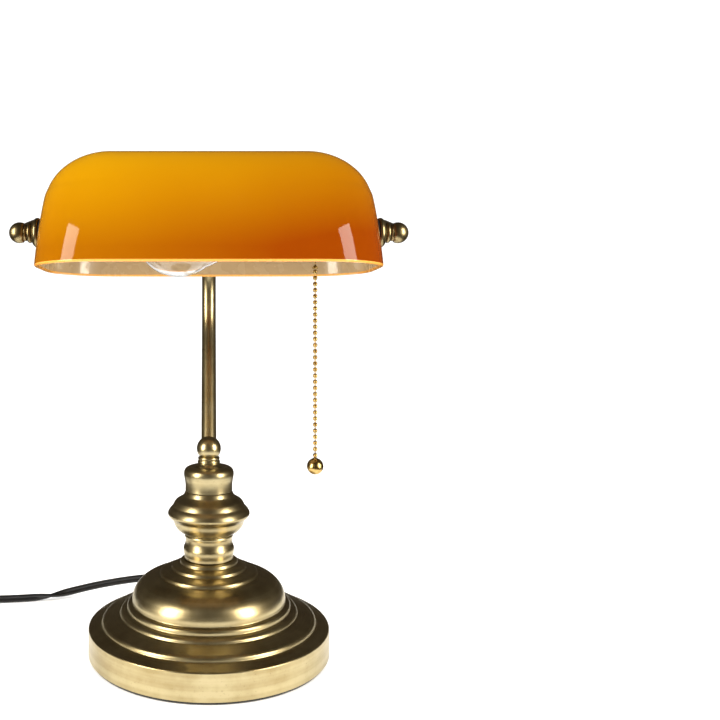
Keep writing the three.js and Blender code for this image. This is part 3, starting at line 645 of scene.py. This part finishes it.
piece("lower_stem_turned", revolve(STEM_OUTLINE, 112), BRASS, "stand", "antique_brass", "lower_stem")
piece("stem_bell_turned", revolve(BELL_OUTLINE, 128), BRASS, "stand", "antique_brass", "stem_bell")
piece("stem_collar_turned", revolve(COLLAR_OUTLINE, 112), BRASS, "stand", "antique_brass", "stem_collar")
piece("neck_rings_turned", revolve(NECK_OUTLINE, 80), BRASS, "stand", "antique_brass", "neck_rings")
neck_outline = [(3.2, 147.2), *ball(9.1, NECK_Z, -38, 90, 30), (0, 150)]
piece("neck_ball_turned", revolve(neck_outline, 80), BRASS, "stand", "antique_brass", "neck_ball")


# ---- Gooseneck and fork --------------------------------------------------------------------------

def arm_point(distance):
    """A point on the gooseneck's centreline, by its distance from the neck ball's centre."""
    bend = ARM_BEND_R * (ARM_LEAN + math.pi / 2)
    straight = min(distance, ARM_STRAIGHT)
    turn = min(max(0, distance - ARM_STRAIGHT), bend) / ARM_BEND_R
    level = max(0, distance - ARM_STRAIGHT - bend)
    y = straight * math.sin(ARM_LEAN) + ARM_BEND_R * (math.cos(ARM_LEAN - turn) - math.cos(ARM_LEAN)) - level
    z = straight * math.cos(ARM_LEAN) + ARM_BEND_R * (math.sin(ARM_LEAN) - math.sin(ARM_LEAN - turn))
    return Vector((0, y, NECK_Z + z))


ARM_LENGTH = ARM_STRAIGHT + ARM_BEND_R * (ARM_LEAN + math.pi / 2) + ARM_LEVEL
arm_path = [arm_point(2.8 + (ARM_LENGTH + 0.6 - 2.8) * k / 120) for k in range(121)]
piece("arm_tube_bent", swept(arm_path, round_section(5.7, 40)), ARM_BRASS, "stand", "antique_brass",
      "arm_tube")
arm_end = arm_path[-1]
sleeve_place = Matrix.Translation(Vector((0, 9, arm_end.z)) * MM) @ Matrix.Rotation(math.pi / 2, 4, "X")
sleeve_outline = [(5.8, 0), (7.2, 0, 0.5), (7.9, 0.9, 0.5), (7.9, 2.2, 0.4), (7.3, 2.7, 0.4), (7.3, 6.6, 0.4),
                  (7.9, 7.1, 0.4), (7.9, 8.6, 0.5), (7.2, 9.5, 0.5), (4.5, 9.5)]
piece("arm_sleeve_turned", revolve(sleeve_outline, 56, sleeve_place), DARK_BRASS, "stand", "dark_brass",
      "arm_sleeve")

arm_drop = math.atan2(arm_end.z - PIVOT.z, YOKE_BACK_Y - PIVOT.y)


def yoke_path():
    """From one end ball back, round both corners and forward to the other ball."""
    reach = 17
    forward = Vector((0, -math.cos(arm_drop), -math.sin(arm_drop)))
    tips = [Vector((s * PIVOT_BALL_X, PIVOT.y, PIVOT.z)) - forward * 4.3 for s in (-1, 1)]
    bends = [Vector((s * PIVOT_BALL_X, YOKE_BACK_Y, arm_end.z)) for s in (-1, 1)]
    made = [tips[0]]
    for before, corner, after in ((tips[0], bends[0], bends[1]), (bends[0], bends[1], tips[1])):
        enter = corner + (before - corner).normalized() * reach
        leave = corner + (after - corner).normalized() * reach
        start = made[-1]
        made += [start + (enter - start) * k / 20 for k in range(1, 20)]
        for k in range(25):
            t = k / 24
            made.append(enter * (1 - t) ** 2 + corner * (2 * t * (1 - t)) + leave * t ** 2)
    start = made[-1]
    made += [start + (tips[1] - start) * k / 20 for k in range(1, 21)]
    return made


piece("yoke_tube_bent", swept(yoke_path(), round_section(4.75, 36)), ARM_BRASS, "stand", "antique_brass",
      "yoke_tube")


# ---- Pivot fittings ------------------------------------------------------------------------------

def mirrored(outline, side):
    return [(r, side * h, *rest) for r, h, *rest in outline]


BALL_OUTLINE = [
    (4.2, 123.4), (5.5, 123.4, 0.3), (5.9, 124.2, 0.6), (5.5, 125.1, 0.3),
    *ball(7.15, PIVOT_BALL_X, -22, 90, 28), (0, PIVOT_BALL_X),
]
SPACER_OUTLINE = [
    (4.2, 120), (6.6, 120, 0.3), (7.1, 120.9, 0.6), (6.9, 122, 0.5), (6, 122.8, 0.4), (5.4, 123.1, 0.2),
    (4.2, 123.1),
]
FLANGE_OUTLINE = [
    (4.2, 115.2), (10, 115.2, 0.2), (10.2, 116.2, 0.5), (9.9, 117.4, 0.6), (8.6, 118.8, 0.6),
    (7.2, 119.4, 0.4),
    (6.4, 119.7, 0.2), (4.2, 119.7),
]
WASHER_OUTLINE = [(4.2, 113.1), (8.8, 113.1, 0.2), (8.8, 114.9, 0.2), (4.2, 114.9)]
at_pivot = along_x(PIVOT)
for side, label in ((-1, "left"), (1, "right")):
    piece(f"pivot_ball_{label}_turned", revolve(mirrored(BALL_OUTLINE, side), 64, at_pivot), DARK_BRASS,
          "stand", "dark_brass", f"pivot_ball_{label}")
    piece(f"ring_spacer_{label}_turned", revolve(mirrored(SPACER_OUTLINE, side), 64, at_pivot), DARK_BRASS,
          "head", "dark_brass", f"ring_spacer_{label}")
    piece(f"flange_{label}_turned", revolve(mirrored(FLANGE_OUTLINE, side), 72, at_pivot), DARK_BRASS,
          "head", "dark_brass", f"flange_{label}")
    piece(f"outer_washer_{label}_cut", revolve(mirrored(WASHER_OUTLINE, side), 56, at_pivot), RUBBER,
          "head", "washer_rubber", f"outer_washer_{label}")
    nipple_start = 102.5 if side < 0 else 97.5
    nipple = [(2.6, nipple_start), (3.5, nipple_start, 0.2)]
    threads = int((129 - nipple_start - 1) / 1.0)
    for k in range(threads):
        low = nipple_start + 0.5 + k
        nipple += [(3.9, low + 0.25, 0.05), (3.55, low + 0.75, 0.05)]
    nipple += [(3.5, 129, 0.2), (2.6, 129)]
    piece(f"nipple_{label}_threaded", revolve(mirrored(nipple, side), 40, at_pivot, steps=2), ZINC,
          "head", "zinc_steel", f"nipple_{label}")


# ---- Shade ---------------------------------------------------------------------------------------

HALF_LENGTH, HALF_DEPTH, SHADE_HEIGHT = 114.2, 64.5, 80.2
RIM_Z, SHIFT_Y, GLASS_T, CORNER_R = -25.4, -1.2, 3.0, 48.0
END_ROUND_X, END_ROUND_S, END_SLOPE = 41.6, 0.42, 6.9


def shade_ring(share, inset, z):
    """One ring of points round the plan section at a share of the height, the same number each time."""
    rise = max(0, (share - (1 - END_ROUND_S)) / END_ROUND_S)
    rounding = END_ROUND_X * (1 - math.sqrt(max(0, 1 - rise * rise)))
    length = HALF_LENGTH - END_SLOPE * share - rounding - inset
    depth = (HALF_DEPTH - inset) * math.sqrt(max(0, 1 - share * share))
    corner = min(CORNER_R - inset, depth)
    ring = []
    for sx, sy in ((1, -1), (1, 1), (-1, 1), (-1, -1)):
        start = math.atan2(sy, sx) - math.pi / 4
        for k in range(15):
            turn = start + k / 14 * math.pi / 2
            ring.append(Vector((sx * (length - corner) + corner * math.cos(turn),
                                sy * (depth - corner) + corner * math.sin(turn) + SHIFT_Y, z)))
        last = ring[-1]
        ends = sx != sy
        goal = Vector((last.x, 2 * SHIFT_Y - last.y, z)) if ends else Vector((-last.x, last.y, z))
        steps = 16 if ends else 28
        ring += [last + (goal - last) * k / steps for k in range(1, steps)]
    return ring


def shade_shape():
    """The cased glass: outer wall, rounded rim, inner wall. Also says which rows are which."""
    levels = 56
    half = GLASS_T / 2
    rows, kinds = [], []
    for k in range(levels, -1, -1):
        share = math.sin((0.012 + 0.988 * k / levels) * math.pi / 2)
        rows.append(shade_ring(min(share, 0.99995), 0, RIM_Z + share * SHADE_HEIGHT))
        kinds.append(0)
    for k in range(1, 8):
        turn = math.pi * k / 8
        share = 0.0188 * (1 - math.sin(turn))
        rows.append(shade_ring(share, half - half * math.cos(turn), RIM_Z + half * (1 - math.sin(turn))))
        kinds.append(1)
    for k in range(levels + 1):
        share = math.sin((0.012 + 0.988 * k / levels) * math.pi / 2)
        rows.append(shade_ring(min(share, 0.99995), GLASS_T, RIM_Z + share * (SHADE_HEIGHT - GLASS_T)))
        kinds.append(2)
    tilt = Matrix.Translation(PIVOT * MM) @ Matrix.Rotation(-SHADE_TILT, 4, "X")
    verts = [tilt @ (p * MM) for row in rows for p in row]
    count = len(rows[0])
    middle = 22  # a ring point halfway along the right-hand end
    faces, looks = [], []
    for r in range(len(rows) - 1):
        for i in range(count):
            j = (i + 1) % count
            faces.append((r * count + i, (r + 1) * count + i, (r + 1) * count + j, r * count + j))
            looks.append(max(kinds[r], kinds[r + 1]) if kinds[r] != 1 else 1)
    for start, look, turned in ((0, 0, False), ((len(rows) - 1) * count, 2, True)):
        for i in range(count // 2):
            a, b = start + (middle + i) % count, start + (middle + i + 1) % count
            c, d = start + (middle - i - 1) % count, start + (middle - i) % count
            face = tuple(dict.fromkeys((a, b, c, d)))
            if len(face) > 2:
                faces.append(tuple(reversed(face)) if turned else face)
                looks.append(look)
    return (verts, faces, None), looks


shade_mesh, shade_looks = shade_shape()
shade = piece("shade_cased_glass", shade_mesh, AMBER, "head", "amber_glass", "shade")
shade.data.materials.append(GLASS_EDGE)
shade.data.materials.append(OPAL)
shade.data.polygons.foreach_set("material_index", shade_looks)
shade.data.set_sharp_from_angle(angle=math.radians(60))


# ---- Socket and chain guide ------------------------------------------------------------------------

SOCKET_CAP = [
    (15.9, 84.4), (17, 84.4, 0.3), (17, 89, 2), (15.4, 94.5, 3), (11.5, 99, 2), (8, 101.4, 1),
    (6.6, 102.4, 0.6),
    (6.6, 103.6, 0.3), (4.3, 103.6), (4.3, 100.6), (7.4, 99.6), (10.6, 97.6), (14.3, 93.6), (15.9, 88.8),
]
SOCKET_SHELL = [
    (15.7, 33.2), (16.5, 33.2, 0.3), (16.9, 34, 0.4), (16.5, 34.8, 0.3), (16.2, 35.6, 0.3), (16.2, 40, 0.3),
    (16.7, 40.6, 0.4), (16.7, 41.6, 0.4), (16.2, 42.2, 0.3), (16.2, 78, 0.3), (16.6, 78.6, 0.3),
    (16.6, 79.6, 0.3), (16.2, 80.2, 0.3), (16.2, 84, 0.2), (15.7, 84),
]
piece("socket_cap_spun", revolve(SOCKET_CAP, 80, at_pivot), BRASS, "head", "antique_brass", "socket_cap")
piece("socket_shell_spun", revolve(SOCKET_SHELL, 80, at_pivot), BRASS, "head", "antique_brass",
      "socket_shell")
GUIDE_TOP, GUIDE_BOTTOM = 295.6, 291.6
GUIDE = [
    (1.9, GUIDE_TOP + 2.4), (2.8, GUIDE_TOP + 2.4), (2.8, GUIDE_TOP - 0.2), (4.2, GUIDE_TOP - 0.6, 0.3),
    (4.2, GUIDE_TOP - 1.2, 0.3), (3, GUIDE_TOP - 1.8, 0.8), (3.6, GUIDE_BOTTOM + 0.6, 0.4),
    (3.6, GUIDE_BOTTOM, 0.2), (2.7, GUIDE_BOTTOM, 0.2), (1.9, GUIDE_TOP - 1.4),
]
chain_line = Matrix.Translation(Vector((CHAIN_X, PIVOT.y, 0)) * MM)
piece("chain_guide_turned", revolve(GUIDE, 48, chain_line, 0.2), DARK_BRASS, "head", "dark_brass",
      "chain_guide")


# ---- Bulb ------------------------------------------------------------------------------------------

BULB_X, BULB_R = -20.5, 30.0


def bulb_wall(inset):
    globe = BULB_R - inset
    made = [(globe * math.sin(t), BULB_X - globe * math.cos(t), 4)
            for t in (math.radians(128) * k / 40 for k in range(41))]
    made[0] = (0, BULB_X - globe)
    return made + soft([(20.4 - inset, 5.2), (16.6 - inset, 12.5), (14.2 - inset, 20)], 5) + [
        (12.9 - inset, 29, 0.3)]


bulb_outline = [*bulb_wall(0), *reversed(bulb_wall(0.7))]
piece("bulb_glass_blown", revolve(bulb_outline, 96, at_pivot), CLEAR, "head", "clear_glass", "bulb_glass")
cap_outline = [(12, 29.4), (12.9, 29.4, 0.2), (13, 31.6, 0.6)]
for k in range(4):
    cap_outline += [(13.2, 34 + 4.2 * k, 1.4), (12.1, 36.1 + 4.2 * k, 1.4)]
cap_outline += [(9.4, 51.6, 0.6), (8.4, 51.6), (11, 49)]
piece("bulb_cap_rolled", revolve(cap_outline, 64, at_pivot), NICKEL, "head", "nickel_steel", "bulb_cap")
STEM = [(0, 27), (8, 27, 0.5), (7.6, 24, 2), (4, 20, 3), (2.6, 8, 3), (3, 0, 2), (3.4, -4, 1), (2.4, -7, 1),
        (0, -8)]
piece("bulb_stem_drawn", revolve(STEM, 48, at_pivot), CLEAR, "head", "clear_glass", "bulb_stem")


def filament():
    """Two lead wires and a fine coiled filament between them, held up by two hooks."""
    route_points = [Vector(p) + PIVOT for p in (
        (-8.6, -1.2, 0), (-16, -5, 3), (-27, -9, 7), (-30, -4, 9), (-27, 0, 8), (-30, 4, 9), (-27, 9, 7),
        (-16, 5, 3), (-8.6, 1.2, 0))]
    line = through(route_points, 0.25)
    made = []
    for i, point in enumerate(line):
        near = min(abs(point.y - PIVOT.y) / 9, 1)
        coiled = 0.28 if point.x < -26.4 and near < 1 else 0
        turn = i * 0.8
        made.append(point + Vector((math.cos(turn), 0, math.sin(turn))) * coiled)
    hooks = [swept([PIVOT + Vector((-7, 0, 0)), PIVOT + Vector((-18, s * 2.4, 5)),
                    PIVOT + Vector((-29.4, s * 4, 9.3))], round_section(0.14, 8)) for s in (-1, 1)]
    return joined(swept(made, round_section(0.2, 8)), *hooks)


piece("bulb_filament_wound", filament(), NICKEL, "head", "nickel_steel", "bulb_filament")


# ---- Pull chain --------------------------------------------------------------------------------------

BEAD_R, BEAD_PITCH, BEADS, FIRST_BEAD_Z = 1.6, 4.15, 31, 285.1


def bead(z, radius=BEAD_R):
    return revolve(ball(radius, z, -90, 90, 14), 24, chain_line)


def link(low, high):
    return revolve([(0, low), (0.42, low), (0.42, high), (0, high)], 10, chain_line, 0.05, 1)


def beads(first_z, count):
    """Hollow beads a pitch apart, with the wire between them."""
    shapes = [bead(first_z - k * BEAD_PITCH) for k in range(count)]
    shapes += [link(first_z - (k + 1) * BEAD_PITCH + 1.4, first_z - k * BEAD_PITCH - 1.4)
               for k in range(count - 1)]
    return shapes


chain_low = FIRST_BEAD_Z - BEADS * BEAD_PITCH + 2.6
chain_shapes = beads(FIRST_BEAD_Z, BEADS)
chain_shapes.append(link(chain_low - 0.1, chain_low + 0.3))
piece("bead_chain_beads", joined(*chain_shapes), GOLD, "chain", "golden_brass", "bead_chain")
piece("pull_link_beads", joined(*beads(302.4, 3), link(290.5, 292.8)), GOLD, "pull", "golden_brass",
      "pull_link")
COUPLING = [(0, 286.9), (1.2, 286.9, 0.3), (1.9, 287.4, 0.4), (2, 288, 0.4), (1.6, 288.6, 0.3),
            (0.6, 289.5, 0.3), (0.3, 290.1, 0.1), (0, 290.1)]
piece("chain_coupling_turned", revolve(COUPLING, 32, chain_line), GOLD, "coupling", "golden_brass",
      "chain_coupling")
END_BALL_R = 5.6
end_z = chain_low - 0.3 - END_BALL_R
end_outline = [*ball(END_BALL_R, end_z, -90, 76, 40), (1.5, end_z + 5.5, 0.2), (1.3, end_z + 5.75, 0.2),
               (0, end_z + 5.75)]
piece("chain_ball_turned", revolve(end_outline, 56, chain_line, 0.2), GOLD, "chain", "golden_brass",
      "chain_ball")


# ---- CAD nodes that keep their own shape ---------------------------------------------------------------

KEPT = {
    "bottom_disc": ZINC, "base_weight": IRON, "base_washer": ZINC, "base_nut": ZINC, "threaded_rod": ZINC,
    "inner_washer_left": ZINC, "inner_washer_right": ZINC, "inner_nut_left": ZINC, "inner_nut_right": ZINC,
    "socket_liner": CARD, "socket_interior": PHENOLIC, "screw_sleeve": GOLD, "centre_contact": GOLD,
    "terminal_screw_front": GOLD, "terminal_screw_back": GOLD, "switch_cam": PHENOLIC,
    "bulb_insulator": PHENOLIC, "bulb_contact": NICKEL, "lead_in_base": PVC, "lead_in_rod": PVC,
    "lead_in_arm": PVC,
}
for node, finish in KEPT.items():
    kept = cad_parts[node]
    kept.data.materials.clear()
    kept.data.materials.append(finish)


# ---- Table, backdrop and lights ------------------------------------------------------------------------

def stage_material(name, colour, glow=0.0):
    finish = Finish(name, Base_Color=colour, Roughness=0.9)
    finish.shader.inputs["Specular IOR Level"].default_value = 0.1
    finish.shader.inputs["Emission Color"].default_value = colour
    finish.shader.inputs["Emission Strength"].default_value = glow
    return finish.material


def stage_mesh(name, verts, faces, material):
    mesh = bpy.data.meshes.new(name)
    mesh.from_pydata(verts, [], faces)
    mesh.shade_smooth()
    mesh.materials.append(material)
    made = bpy.data.objects.new(name, mesh)
    scene.collection.objects.link(made)
    return made


WHITE = (0.86, 0.86, 0.86, 1)
GREY = (0.3, 0.3, 0.3, 1)
TABLE_R, ROOM_R = 0.34, 4.0
SIDES = 96
circle = [(math.cos(2 * math.pi * k / SIDES), math.sin(2 * math.pi * k / SIDES)) for k in range(SIDES)]
table_verts = [(TABLE_R * c, TABLE_R * s, 0) for c, s in circle]
stage_mesh("table", table_verts, [tuple(range(SIDES))], stage_material("table", WHITE, 0.2))
room_verts = table_verts + [(ROOM_R * c, ROOM_R * s, 0) for c, s in circle]
room_faces = [(k, SIDES + k, SIDES + (k + 1) % SIDES, (k + 1) % SIDES) for k in range(SIDES)]
floor = stage_mesh("floor", room_verts, room_faces, stage_material("floor", WHITE, 0.2))
floor.visible_glossy = False

dome_verts, dome_faces = [], []
RINGS = 24
for r in range(RINGS):
    tilt = math.pi / 2 * r / RINGS
    dome_verts += [(ROOM_R * math.cos(tilt) * c, ROOM_R * math.cos(tilt) * s, ROOM_R * math.sin(tilt))
                   for c, s in circle]
dome_verts.append((0, 0, ROOM_R))
for r in range(RINGS - 1):
    for k in range(SIDES):
        m = (k + 1) % SIDES
        dome_faces.append((r * SIDES + k, (r + 1) * SIDES + k, (r + 1) * SIDES + m, r * SIDES + m))
dome_faces += [((RINGS - 1) * SIDES + k, len(dome_verts) - 1, (RINGS - 1) * SIDES + (k + 1) % SIDES)
               for k in range(SIDES)]
backdrop = stage_mesh("backdrop", dome_verts, dome_faces, stage_material("backdrop", GREY, 2.9))
backdrop.visible_glossy = False

world = bpy.data.worlds.new("studio")
world.use_nodes = True
world.node_tree.nodes["Background"].inputs["Color"].default_value = (0.055, 0.045, 0.035, 1)
world.node_tree.nodes["Background"].inputs["Strength"].default_value = 1.0
scene.world = world


def softbox(name, azimuth, distance, height, width, tall, power, colour=(1, 1, 1), aim=0.2):
    """An area light round the lamp: azimuth 0 is the front, and positive is to the right."""
    data = bpy.data.lights.new(name, "AREA")
    data.shape = "RECTANGLE"
    data.size = width
    data.size_y = tall
    data.energy = power
    data.color = colour
    light = bpy.data.objects.new(name, data)
    turn = math.radians(azimuth)
    light.location = (distance * math.sin(turn), -distance * math.cos(turn), height)
    light.rotation_euler = (Vector((0, 0, aim)) - light.location).to_track_quat("-Z", "Y").to_euler()
    scene.collection.objects.link(light)
    return light


softbox("left_softbox", -58, 1.3, 0.5, 0.45, 1.0, 22, (1, 0.93, 0.8))
softbox("right_softbox", 58, 1.3, 0.5, 0.45, 1.0, 22, (1, 0.93, 0.8))
softbox("top_softbox", -20, 0.5, 1.6, 1.2, 0.9, 6).visible_glossy = False
